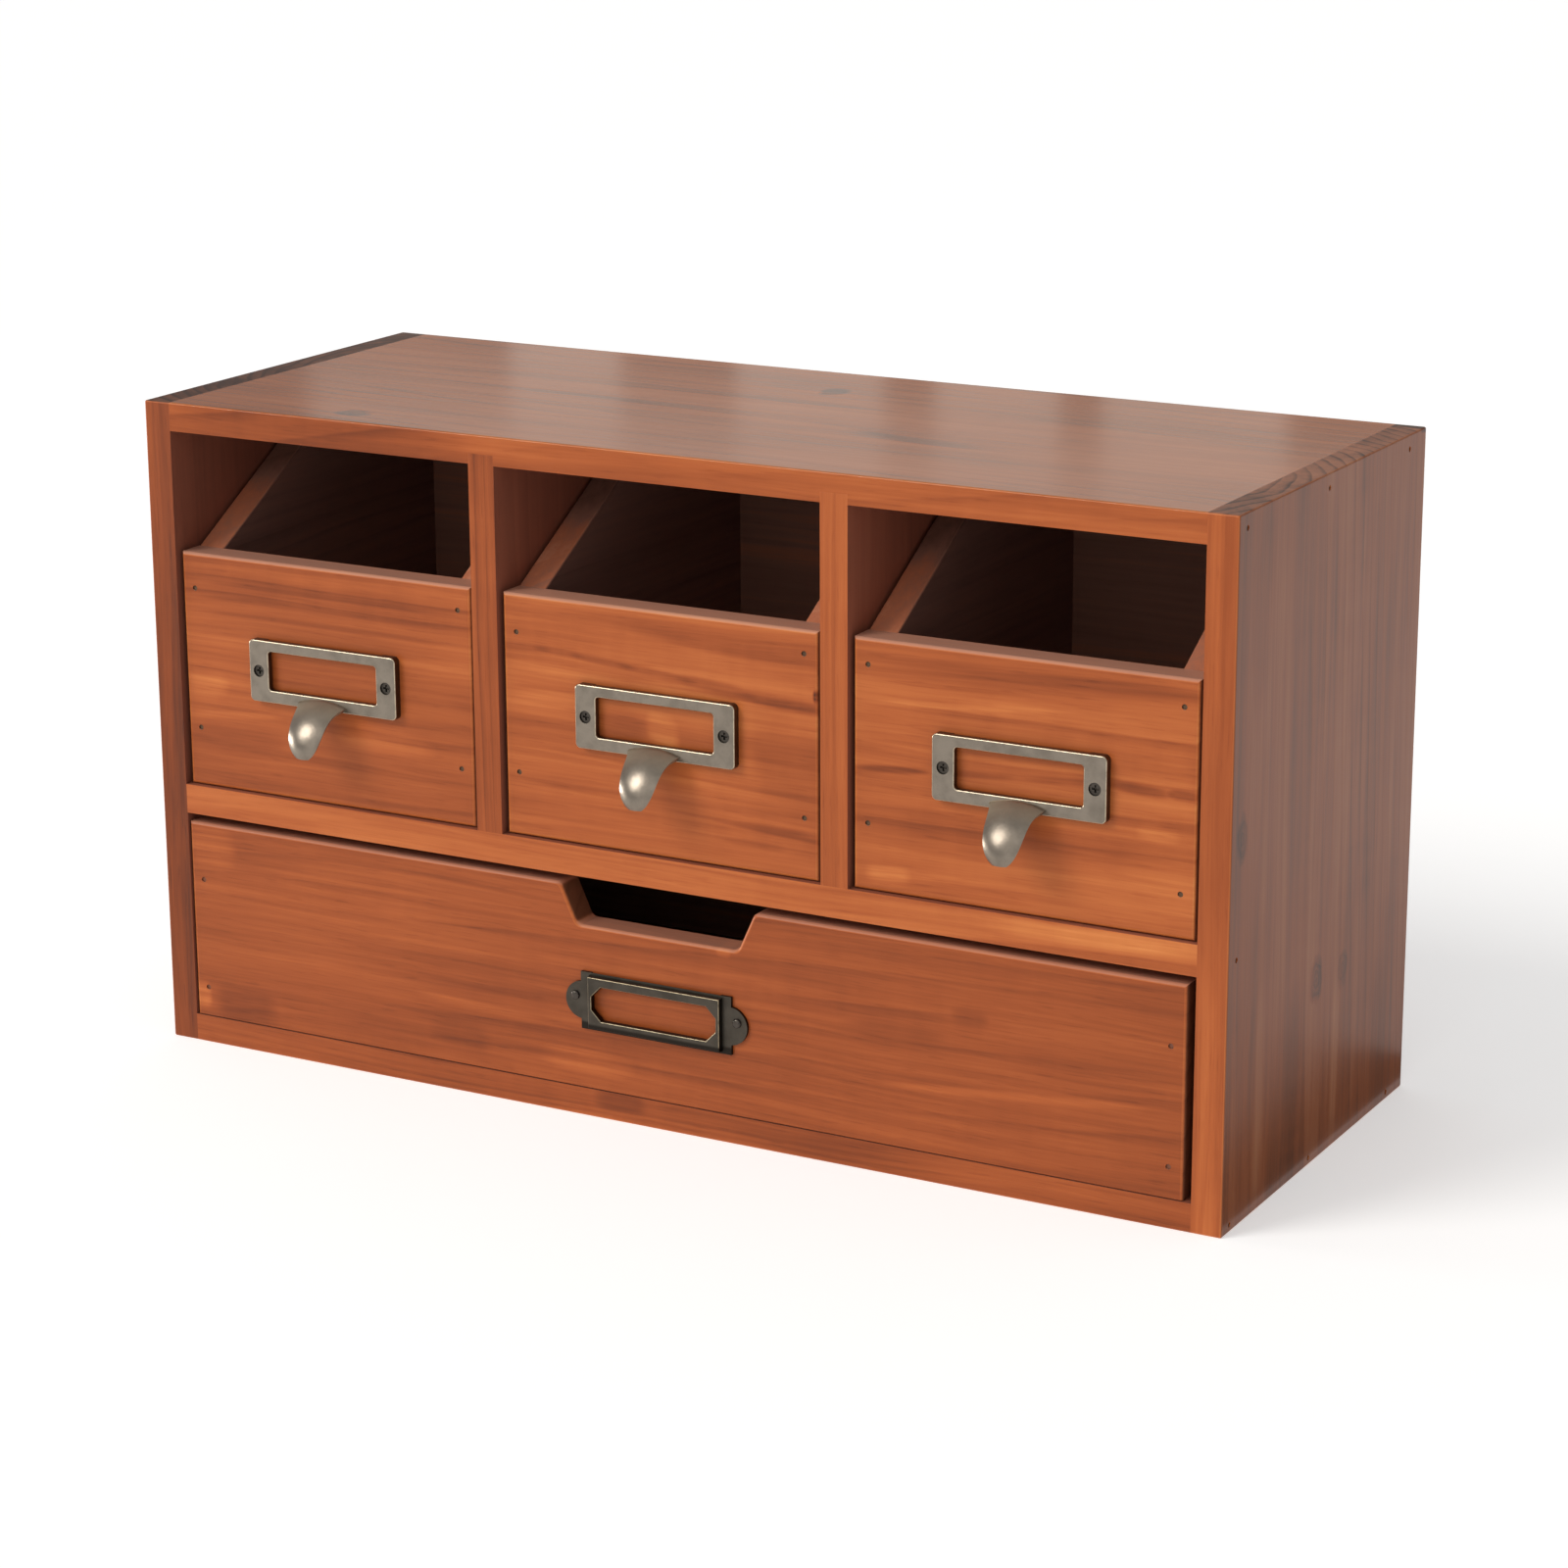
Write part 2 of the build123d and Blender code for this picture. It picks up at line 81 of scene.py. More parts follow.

# Stain, from knots and dents to the palest streaks, with copies of it that paint shade or light on some
# faces (linear colours)
stain_steps = [
    (0.0, (0.050, 0.017, 0.010, 1)),
    (0.2, (0.190, 0.042, 0.011, 1)),
    (0.35, (0.285, 0.065, 0.016, 1)),
    (0.5, (0.375, 0.092, 0.023, 1)),
    (0.65, (0.455, 0.126, 0.033, 1)),
    (0.8, (0.535, 0.170, 0.045, 1)),
    (1.0, (0.645, 0.240, 0.072, 1)),
]
inner_steps = [  # plain boards of the drawers
    (0.0, (0.105, 0.050, 0.034, 1)),
    (0.5, (0.272, 0.132, 0.092, 1)),
    (0.8, (0.450, 0.155, 0.078, 1)),
    (1.0, (0.520, 0.240, 0.145, 1)),
]
shaded_wall_steps = [  # faces inside the case and backs of the drawer fronts, darker and duller as painted shade
    (0.0, (0.170, 0.058, 0.036, 1)),
    (0.5, (0.285, 0.092, 0.053, 1)),
    (1.0, (0.420, 0.152, 0.090, 1)),
]
shaded_inner_steps = [  # inner face of a drawer's left side, darker as painted shade
    (0.0, (0.060, 0.030, 0.023, 1)),
    (0.5, (0.195, 0.102, 0.078, 1)),
    (1.0, (0.300, 0.140, 0.090, 1)),
]
shaded_outer_steps = [  # outer faces of the case's sides and back, a darker copy of the stain as painted shade
    (0.0, (0.045, 0.022, 0.014, 1)),
    (0.5, (0.228, 0.068, 0.025, 1)),
    (1.0, (0.330, 0.135, 0.062, 1)),
]
shaded_upper_steps = [  # face of the top board, a copy of the stain with its pale streaks darker, as painted shade for the light it gets
    (0.0, (0.070, 0.030, 0.018, 1)),
    (0.5, (0.375, 0.104, 0.022, 1)),
    (1.0, (0.560, 0.205, 0.070, 1)),
]
end_steps = [  # end grain of the case's sides
    (0.0, (0.055, 0.022, 0.013, 1)),
    (0.5, (0.320, 0.122, 0.063, 1)),
    (1.0, (0.440, 0.220, 0.130, 1)),
]
end_grain_and_shade_steps = [  # ends of the drawer fronts, dark end grain with painted shade of the gaps
    (0.0, (0.100, 0.034, 0.016, 1)),
    (1.0, (0.220, 0.078, 0.036, 1)),
]
late_wood_steps = [  # share of late wood within a year ring
    (0.0, (0.0, 0.0, 0.0, 1)),
    (0.62, (0.15, 0.15, 0.15, 1)),
    (0.92, (1.0, 1.0, 1.0, 1)),
    (1.0, (0.0, 0.0, 0.0, 1)),
]
upward_highlight_colour = (0.56, 0.36, 0.28, 1)  # painted highlight on upward faces and edges
varnish_ior = 1.29
varnish_roughness = 0.3
top_roughness = 0.12
end_dullness = 0.12  # roughness that end grain adds
streak_dullness = 0.1
wood_relief = (0.08, 0.0003)  # strength, and depth in metres
late_relief = 0.4  # how far late wood sinks below the fibres

# Figure of the wood: noise cycles per metre along the grain and across it, then detail and roughness
figure_noise = {
    "sway": (5, 22, 2.0, 0.5),  # bends the grain
    "uneven": (2, 60, 1.0, 0.5),  # shifts the year rings
    "fade": (4, 32, 2.0, 0.5),  # where late wood shows
    "band": (4, 85, 1.0, 0.5),
    "streak": (5, 330, 4.0, 0.6),
    "blotch": (11, 32, 3.0, 0.5),
    "fibre": (26, 900, 3.0, 0.6),
    "ripple": (150, 40, 2.0, 0.5),
    "fleck": (120, 2000, 0.0, 0.5),
}
noise_middle = 0.5
board_shift = (7.31, 3.17, 5.77)  # noise cycles from one board to the next
sway_reach = 0.009  # metres
fade_span = (0.38, 0.66)
fleck_span = (0.66, 0.8)
band_depth = 0.50  # how far each kind of figure changes the tone
streak_depth = 0.60
blotch_depth = 0.55
fibre_depth = 0.24
ripple_depth = 0.16
late_depth = 0.22
fleck_depth = 0.06
end_late_depth = 0.26
end_depth = 0.10

# Kinds of surface, by how squarely they face an axis: none before the first number, all after the second
end_span = (0.6, 0.95)
face_span = (0.6, 0.9)
upward_span = (0.3, 0.9)
edge_span = (1.1, 1.3)  # sum over the three axes, which is one on a flat face
shadow_to_pale_range = (-1.2, 1.0)  # lift of a sloping edge, from painted shadow of the board above to pale

# Marks and knots; where they fade is given in their half lengths and half widths
stroke_fade = (1.3, 0.3)
stroke_power = 4.0  # squares the ends of a stroke
mark_break = (0.3, 0.7, 0.5, 1.5)  # from this span of the streaks to this strength of a mark
mark_sway = 0.3
knot_rings = 2.4  # from a knot's middle to its edge
knot_tones = (0.6, 1.1)  # within a ring
knot_fade = (1.25, 0.85)
knot_unevenness = 0.9
knot_noise = (170, 260, 0)  # cycles per metre
knot_detail = 2.0

# Castings and label frame (metres)
pewter = (0.25, 0.212, 0.170, 1)
# worn colour, also laid on the tongue's root as a painted reflection
pewter_wear_and_sheen = (0.54, 0.46, 0.33, 1)
# painted shade on the walls and low rim of the pull
pewter_shade = (0.085, 0.073, 0.060, 1)
pewter_roughness = 0.24
pull_plate = 0.0026  # thickness of the pull's plate
pull_shaded_rim = 0.0
bronze = (0.080, 0.070, 0.056, 1)
bronze_worn = (0.34, 0.28, 0.18, 1)
# painted shade on the walls and low rim of the label frame
bronze_shade = (0.025, 0.021, 0.017, 1)
bronze_roughness = 0.32
frame_plate = 0.0027
frame_shaded_rim = 0.0022
metal_cloud = (160, 4.0, 0.6)  # noise cycles per metre, detail and roughness
metal_speck = (900, 2.0, 0.5)
cloud_span = (0.35, 0.7)
cloud_shade = 0.75
cloud_dullness = 0.15
speck_span = (0.3, 0.55, 0.45, 1.0)  # from this span of the specks to this strength of the wear
plate_fade = (1.3, 1.02)  # plate thicknesses from the back at which the plate ends
root_rise = (1.0, 1.5)  # plate thicknesses over which the root of the tongue begins
root_fall = (4.5, 2.0)
# how far the tongue's root is paled as a painted reflection
root_painted_sheen = 0.4
root_dullness = 0.3
turn_rise = (0.25, 0.6)  # how squarely a worn edge faces the front
turn_fall = (0.97, 0.85)
# painted shade on walls that face the front less than these
wall_shade_fade = (0.3, 0.05)
rim_shade_fade = (1.2, 0.8)  # shares of the low rim's height, over which its painted shade fades
metal_relief = (0.12, 0.0002)
cloud_relief = 3.0

# Nails, screws and pins: dark and pale colours, roughness and metallic share
steel_cloud = (700, 3.0)  # noise cycles per metre and detail
fastener_finishes = {
    "nail_steel": ((0.050, 0.026, 0.012, 1), (0.14, 0.075, 0.034, 1), 0.8, 0.0),
    "dark_nail_steel": ((0.012, 0.008, 0.006, 1), (0.040, 0.026, 0.018, 1), 0.8, 0.0),
    "nail_stain": ((0.10, 0.034, 0.016, 1), (0.24, 0.070, 0.024, 1), 0.5, 0.0),
    "screw_steel": ((0.035, 0.03, 0.025, 1), (0.10, 0.085, 0.07, 1), 0.4, 0.9),
    "pin_steel": ((0.03, 0.026, 0.022, 1), (0.11, 0.095, 0.08, 1), 0.25, 0.9),
}
fasteners = {  # finish of the nodes whose names end so; the first that fits counts
    "case_nails": "dark_nail_steel",
    "wide_drawer_nails": "nail_stain",
    "nails": "nail_steel",
    "screws": "screw_steel",
    "pins": "pin_steel",
}

# Marks on the boards, from the board's middle: place along, place across, half length, half width,
# change of tone and slant; a knot has no slant
left_marks = [
    (-0.0435, -0.0045, 0.008, 0.004, 0.11, 0.12),
    (-0.0335, -0.0125, 0.019, 0.0012, 0.12, 0.08),
    (-0.0345, -0.019, 0.019, 0.005, -0.1, 0.0),
    (0.0205, -0.0145, 0.017, 0.0034, 0.1, 0.0),
    (0.0, 0.025, 0.06, 0.012, -0.07, 0.0),
    (0.0, 0.0275, 0.042, 0.001, -0.09, 0.0),
    (0.0, 0.023, 0.048, 0.001, -0.1, 0.0),
    (0.0, 0.0185, 0.044, 0.001, -0.08, 0.0),
    (0.0, 0.013, 0.046, 0.001, -0.07, 0.01),
]
middle_marks = [
    (0.0, 0.027, 0.06, 0.008, -0.03, -0.05),
    (-0.045, 0.0205, 0.0095, 0.0012, -0.14, 0.02),
    (-0.0325, 0.0205, 0.0085, 0.0012, -0.15, -0.04),
    (-0.018, 0.0195, 0.011, 0.0014, -0.16, -0.08),
    (-0.0005, 0.018, 0.0125, 0.0016, -0.17, -0.1),
    (0.0185, 0.0165, 0.0125, 0.002, -0.18, -0.09),
    (0.04, 0.0145, 0.0145, 0.0022, -0.19, -0.06),
    (-0.03, 0.016, 0.02, 0.003, 0.07, -0.03),
    (0.01, 0.013, 0.018, 0.003, 0.07, -0.09),
    (-0.037, 0.009, 0.012, 0.0008, -0.1, 0.04),
    (0.0015, 0.0015, 0.0055, 0.005, 0.22, -0.25),
    (-0.0115, 0.0015, 0.0075, 0.005, -0.1, -0.12),
    (0.042, -0.001, 0.012, 0.014, -0.11, -0.06),
    (-0.03, 0.004, 0.018, 0.005, 0.07, 0.0),
    (0.0355, -0.018, 0.015, 0.0014, -0.11, 0.02),
    (0.036, -0.023, 0.013, 0.0014, -0.11, 0.0),
    (0.031, -0.028, 0.01, 0.0014, -0.1, -0.01),
    (0.051, 0.0175, 0.0015, 0.002, -0.45, -0.1),
]
right_marks = [
    (-0.02, 0.02, 0.033, 0.001, 0.12, 0.07),
    (-0.0395, 0.0, 0.0125, 0.0012, -0.26, 0.08),
    (-0.014, 0.002, 0.013, 0.0012, -0.22, 0.06),
    (0.013, 0.0035, 0.014, 0.0012, -0.22, 0.06),
    (0.035, 0.004, 0.009, 0.0016, -0.34, -0.03),
    (0.0475, 0.004, 0.005, 0.0016, -0.34, -0.03),
    (0.0015, -0.0155, 0.046, 0.008, -0.08, 0.02),
    (-0.0405, -0.0305, 0.007, 0.0034, 0.16, 0.01),
    (0.04, -0.0075, 0.0065, 0.0028, 0.11, -0.04),
    (0.0, -0.033, 0.05, 0.002, 0.07, 0.03),
]
wide_marks = [
    (-0.1565, 0.0235, 0.009, 0.0066, 0.16, -0.04),
    (-0.146, -0.0265, 0.012, 0.007, -0.12, -0.07),
    (-0.1625, -0.0245, 0.0035, 0.0046, 0.18, -0.12),
    (-0.068, -0.0225, 0.011, 0.005, -0.07, -0.05),
    (-0.0595, -0.0125, 0.023, 0.0016, 0.12, -0.04),
    (-0.024, -0.0235, 0.016, 0.004, 0.1, -0.01),
    (0.076, 0.003, 0.016, 0.0024, -0.07, 0.03),
    (0.1, 0.0105, 0.006, 0.003, -0.07, -0.07),
    (0.1145, -0.0095, 0.043, 0.0014, 0.12, 0.08),
    (0.022, 0.0175, 0.0025, 0.0016, 0.14, -0.03),
]
top_marks = [
    (0.054, -0.0175, 0.023, 0.004, -0.14, -0.11),
    (-0.11, -0.068, 0.05, 0.006, -0.12, 0.0),
]
top_knots = [(-0.108, -0.0565, 0.005, 0.004, -0.34), (0.0, 0.038, 0.004, 0.0048, -0.34)]
shelf_marks = [
    (0.131, 0.0005, 0.029, 0.0032, 0.13, 0.01),
    (-0.095, -0.003, 0.0245, 0.0028, 0.12, 0.0),
]
bottom_marks = [(-0.014, 0.002, 0.009, 0.0036, -0.16, 0.01)]
side_marks = [
    (0.0995, 0.067, 0.0015, 0.0036, -0.45, 0.0),
    (0.01, -0.03, 0.06, 0.003, 0.09, 0.0),
    (-0.03, -0.012, 0.05, 0.0024, 0.08, 0.01),
    (0.03, 0.004, 0.055, 0.004, -0.06, -0.01),
    (-0.01, 0.034, 0.07, 0.005, -0.07, 0.0),
    (0.02, 0.05, 0.06, 0.0026, 0.07, 0.0),
    (-0.06, 0.03, 0.03, 0.004, 0.12, 0.02),
    (-0.065, -0.045, 0.03, 0.004, 0.16, 0.01),
    (-0.075, -0.02, 0.035, 0.006, -0.14, 0.0),
    (-0.07, 0.012, 0.025, 0.003, 0.16, -0.01),
    (-0.08, 0.045, 0.03, 0.006, -0.12, 0.0),
    (0.075, -0.05, 0.03, 0.007, -0.12, 0.0),
    (0.06, 0.02, 0.03, 0.004, 0.1, 0.0),
]
side_knots = [
    (0.011, -0.0605, 0.006, 0.0032, -0.26),
    (-0.045, -0.004, 0.0065, 0.0046, -0.34),
    (-0.0475, 0.016, 0.005, 0.0036, -0.2),
]


class Paint:
    """Node tree of one material, with short calls for the nodes that the paints share."""

    def __init__(self, name):
        self.material = bpy.data.materials.new(name)
        self.material.use_nodes = True
        self.tree = self.material.node_tree
        self.shader = self.tree.nodes["Principled BSDF"]

    def put(self, socket, value):
        """Link an output to a socket, or set the socket's constant."""
        if isinstance(value, bpy.types.NodeSocket):
            self.tree.links.new(value, socket)
        else:
            socket.default_value = value

    def shade(self, **values):
        """Values of the shader's sockets, with spaces in their names written as underscores."""
        for name, value in values.items():
            self.put(self.shader.inputs[name.replace("_", " ")], value)

    def add(self, kind, *values, **settings):
        """A node with its settings and its first inputs in order."""
        node = self.tree.nodes.new(kind)
        for key, value in settings.items():
            setattr(node, key, value)
        for socket, value in zip(node.inputs, values):
            self.put(socket, value)
        return node

    def math(self, operation, *values):
        return self.add("ShaderNodeMath", *values, operation=operation).outputs[0]

    def vector(self, operation, *values):
        node = self.add("ShaderNodeVectorMath", *values, operation=operation)
        return node.outputs["Value"] if operation in ("LENGTH", "DOT_PRODUCT") else node.outputs["Vector"]

    def lift(self, value, amount, depth):
        """The value raised by an amount times a depth."""
        return self.math("MULTIPLY_ADD", amount, depth, value)

    def swing(self, value, noise, depth):
        """The value moved up and down by a noise."""
        return self.lift(value, self.math("SUBTRACT", noise, noise_middle), depth)

    def stretch(self, vector, scale, shift=(0, 0, 0)):
        """The vector scaled axis by axis and then moved."""
        return self.vector("ADD", self.vector("MULTIPLY", vector, scale), shift)

    def noise(self, vector, detail, roughness=0.5):
        node = self.add("ShaderNodeTexNoise")
        self.put(node.inputs["Vector"], vector)
        node.inputs["Scale"].default_value = 1.0
        node.inputs["Detail"].default_value = detail
        node.inputs["Roughness"].default_value = roughness
        return node

    def ramp(self, value, steps):
        node = self.add("ShaderNodeValToRGB", value)
        elements = node.color_ramp.elements
        while len(elements) < len(steps):
            elements.new(1.0)
        for element, (place, colour) in zip(elements, steps):
            element.position = place
            element.color = colour
        return node.outputs["Color"]

    def span(self, value, low, high, to_low=0.0, to_high=1.0):
        """The value mapped smoothly from one span to another."""
        node = self.add(
            "ShaderNodeMapRange", value, low, high, to_low, to_high, interpolation_type="SMOOTHSTEP"
        )
        return node.outputs["Result"]

    def blend(self, amount, first, second):
        """The first colour, turning to the second with the amount."""
        node = self.add("ShaderNodeMix", data_type="RGBA")
        factor_socket, first_socket, second_socket = (node.inputs[index] for index in (0, 6, 7))
        self.put(factor_socket, amount)
        self.put(first_socket, first)
        self.put(second_socket, second)
        return node.outputs[2]

    def place(self):
        """Place on the object."""
        return self.add("ShaderNodeTexCoord").outputs["Object"]

    def normal(self):
        return self.add("ShaderNodeNewGeometry").outputs["Normal"]

    def facing(self, direction):
        """How squarely the surface faces a direction."""
        return self.vector("DOT_PRODUCT", self.normal(), direction)

    def relief(self, height, strength, distance):
        """Fine relief on the surface."""
        node = self.add("ShaderNodeBump")
        node.inputs["Strength"].default_value = strength
        node.inputs["Distance"].default_value = distance
        self.put(node.inputs["Height"], height)
        self.shade(Normal=node.outputs["Normal"])


class Board(Paint):
    """Stain of one board: the grain, the width and the thickness run along the three axes named."""

    def __init__(self, node_name, axes, seed):
        super().__init__(f"{node_name}_stain")
        low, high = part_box(node_name)
        middle = (Vector(low) + Vector(high)) / 2
        place = self.vector("SUBTRACT", self.place(), tuple(middle))
        parts = self.add("ShaderNodeSeparateXYZ", place).outputs
        places = [parts[axis_index[axis]] for axis in axes]
        self.along = places[0]
        self.grain = self.add("ShaderNodeCombineXYZ", *places).outputs[0]
        self.shift = tuple(seed * step for step in board_shift)
        sway = self.figure("sway", self.grain, "Color")
        self.sway = self.stretch(sway, (0, sway_reach, sway_reach), (0, -sway_reach / 2, -sway_reach / 2))
        self.bent = self.vector("ADD", self.grain, self.sway)
        self.streak = self.figure("streak", self.bent)
        self.fibre = self.figure("fibre", self.bent)
        self.spread = self.vector("ABSOLUTE", self.normal())
        grain_axis = tuple(float(axis == axes[0]) for axis in "XYZ")
        self.end = self.span(self.vector("DOT_PRODUCT", self.spread, grain_axis), *end_span)

    def figure(self, kind, place, output=0):
        """One kind of noise in the wood."""
        along, across, detail, roughness = figure_noise[kind]
        cycles = self.stretch(place, (along, across, across), self.shift)
        return self.noise(cycles, detail, roughness).outputs[output]

    def late_wood(self, pith, spacing, lean):
        """Dark late wood of the year rings round the pith."""
        tilt = self.vector("SCALE", (0, lean, 0))
        self.put(tilt.node.inputs["Scale"], self.add("ShaderNodeSeparateXYZ", self.bent).outputs[0])
        from_pith = self.vector("ADD", self.stretch(self.bent, (0, 1, 1), (0, -pith[0], -pith[1])), tilt)
        rings = self.math("DIVIDE", self.vector("LENGTH", from_pith), spacing)
        rings = self.math("ADD", rings, self.figure("uneven", self.grain))
        return self.ramp(self.math("FRACT", rings), late_wood_steps)

    def grain_tone(self, tone, figure, late):
        """The tone with the figure of the grain, scaled by the figure's share."""
        fade = self.span(self.figure("fade", self.grain), *fade_span)
        value = self.swing(tone, self.figure("band", self.bent), band_depth * figure)
        value = self.swing(value, self.streak, streak_depth * figure)
        value = self.swing(value, self.figure("blotch", self.bent), blotch_depth * figure)
        value = self.swing(value, self.fibre, fibre_depth)
        ripple = self.math("SUBTRACT", self.figure("ripple", self.bent), noise_middle)
        value = self.lift(value, self.math("MULTIPLY", ripple, fade), ripple_depth * figure)
        late_share = self.lift(self.math("MULTIPLY", self.end, end_late_depth), fade, late_depth * figure)
        value = self.math("SUBTRACT", value, self.math("MULTIPLY", late, late_share))
        fleck = self.span(self.figure("fleck", self.grain), *fleck_span)
        value = self.lift(value, fleck, -fleck_depth)
        return self.lift(value, self.end, -end_depth)

    def edge(self, shadow_span):
        """One on rounded edges; with a shadow span, from painted shadow to pale along the board."""
        edge = self.span(self.vector("DOT_PRODUCT", self.spread, (1.0, 1.0, 1.0)), *edge_span)
        if shadow_span:
            edge = self.math("MULTIPLY", edge, self.span(self.along, *shadow_span, *shadow_to_pale_range))
        return edge

    def stroke(self, place, along, across, half_length, half_width, slant):
        """One inside a soft stroke about a place on the board, turned by the slant, and zero outside."""
        length = self.vector("DOT_PRODUCT", place, (1 / half_length, 0.0, 0.0))
        length = self.math("ABSOLUTE", self.math("SUBTRACT", length, along / half_length))
        width = self.vector("DOT_PRODUCT", place, (-slant / half_width, 1 / half_width, 0.0))
        width = self.math("SUBTRACT", width, (across - slant * along) / half_width)
        reach = self.math("MULTIPLY_ADD", width, width, self.math("POWER", length, stroke_power))
        return self.span(self.math("SQRT", reach), *stroke_fade)

    def knot(self, place, along, across, half_length, half_width):
        """About one inside an uneven oval, in rings that darken outwards, and zero outside."""
        scale = (1 / half_length, 1 / half_width, 0.0)
        reach = self.stretch(place, scale, (-along / half_length, -across / half_width, 0.0))
        uneven = self.noise(self.stretch(place, knot_noise), knot_detail).outputs[0]
        reach = self.swing(self.vector("LENGTH", reach), uneven, knot_unevenness)
        rings = self.math("FRACT", self.math("MULTIPLY", reach, knot_rings))
        return self.math("MULTIPLY", self.span(reach, *knot_fade), self.span(rings, 0.0, 1.0, *knot_tones))

    def marked(self, value, marks, knots):
        """The tone with the board's marks and knots."""
        wavy = self.vector("ADD", self.grain, self.stretch(self.sway, (0, mark_sway, mark_sway)))
        strength = self.span(self.streak, *mark_break)
        for along, across, half_length, half_width, change, slant in marks:
            stroke = self.stroke(wavy, along, across, half_length, half_width, slant)
            value = self.lift(value, self.math("MULTIPLY", stroke, strength), change)
        for along, across, half_length, half_width, change in knots:
            value = self.lift(value, self.knot(wavy, along, across, half_length, half_width), change)
        return value

    def colour(self, value, steps, upward_highlight, faces):
        """Stain for the tone, paled on upward faces by a painted highlight; listed faces have their own
        steps, among them copies of the stain that paint shade or light.
        """
        upward = self.span(self.facing(up), *upward_span)
        # upward faces turn towards the highlight colour: a painted highlight
        colour = self.blend(self.math("MULTIPLY", upward, upward_highlight), self.ramp(value, steps), upward_highlight_colour)
        for direction, face_steps in faces:
            on_face = self.span(self.facing(direction), *face_span)
            colour = self.blend(on_face, colour, self.ramp(value, face_steps))
        return colour


# Materials

def wood(
    node_name, axes, pith, spacing, seed, lean=0.0, tone=0.52, figure=1.0, edge_lift=0.2, shadow_span=None,
    upward_highlight=0.0, steps=stain_steps, faces=(), marks=(), knots=(), roughness=varnish_roughness,
):
    """Stained and varnished board, cut from a log.

    The pith is the log's middle line, given from the middle of the board across its width and thickness;
    it leans along the board. Spacing is the distance between year rings. Figure scales the grain's contrast.
    The edge lift pales rounded edges; with a shadow span it pales them only in front of one place along the
    board and paints shadow on them behind another.
    The upward highlight pales upward faces as a painted highlight."""
    board = Board(node_name, axes, seed)
    late = board.late_wood(pith, spacing, lean)
    value = board.grain_tone(tone, figure, late)
    value = board.lift(value, board.edge(shadow_span), edge_lift)
    value = board.marked(value, marks, knots)
    dull = board.lift(roughness, board.end, end_dullness)
    board.shade(
        Base_Color=board.colour(value, steps, upward_highlight, faces),
        Roughness=board.lift(dull, board.streak, streak_dullness),
        IOR=varnish_ior,
    )
    board.relief(board.lift(board.fibre, late, -late_relief), *wood_relief)
    return board.material


def cast_metal(node_name, body, wear_and_sheen, dark, roughness, plate, shaded_low_rim):
    """Aged metal: worn bright where an edge of its plate turns, with painted shade on its walls and along
    its low rim.

    The plate's thickness and the low rim's height are given. What stands out beyond the plate has a coarse
    root, paled as a painted reflection."""
    paint = Paint(f"{node_name}_metal")
    low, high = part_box(node_name)
    place = paint.place()
    parts = paint.add("ShaderNodeSeparateXYZ", place).outputs
    depth = paint.math("DIVIDE", paint.math("SUBTRACT", high[1], parts[1]), plate)
    on_plate = paint.span(depth, *plate_fade)
    facing = paint.facing(front)
    cloud, speck = (
        paint.noise(paint.stretch(place, (cycles, cycles, cycles)), detail, rough).outputs[0]
        for cycles, detail, rough in (metal_cloud, metal_speck)
    )
    shaded = (*(share * cloud_shade for share in body[:3]), 1)
    colour = paint.blend(paint.span(cloud, *cloud_span), body, shaded)
    turn = paint.math("MULTIPLY", paint.span(facing, *turn_rise), paint.span(facing, *turn_fall))
    turn = paint.math("MULTIPLY", turn, on_plate)
    colour = paint.blend(paint.math("MULTIPLY", turn, paint.span(speck, *speck_span)), colour, wear_and_sheen)
    root = paint.math("MULTIPLY", paint.span(depth, *root_rise), paint.span(depth, *root_fall))
    # the tongue's root paled towards the worn colour: a painted reflection
    colour = paint.blend(paint.math("MULTIPLY", root, root_painted_sheen), colour, wear_and_sheen)
    # painted shade on the sideways walls of the plate
    wall_shade = paint.math("MULTIPLY", paint.span(facing, *wall_shade_fade), on_plate)
    colour = paint.blend(wall_shade, colour, dark)
    # painted shade along the low rim
    if shaded_low_rim:
        rim_height = paint.math("DIVIDE", paint.math("SUBTRACT", parts[2], low[2]), shaded_low_rim)
        colour = paint.blend(paint.span(rim_height, *rim_shade_fade), colour, dark)
    coarse = paint.lift(roughness, root, root_dullness)
    paint.shade(Base_Color=colour, Metallic=1.0, Roughness=paint.lift(coarse, cloud, cloud_dullness))
    paint.relief(paint.lift(speck, cloud, cloud_relief), *metal_relief)
    return paint.material


def fastener_metal(name, dark, pale, roughness, metallic):
    """Clouded metal, or with no metallic share rust or stain, for nails, screws and pins."""
    paint = Paint(name)
    cycles, detail = steel_cloud
    cloud = paint.noise(paint.stretch(paint.place(), (cycles, cycles, cycles)), detail).outputs[0]
    paint.shade(Base_Color=paint.blend(cloud, dark, pale), Metallic=metallic, Roughness=roughness)
    return paint.material


# Dressing of the nodes

def dress(node_name, material):
    """Give a node one material."""
    mesh = nodes[node_name].data
    mesh.materials.clear()
    mesh.materials.append(material)


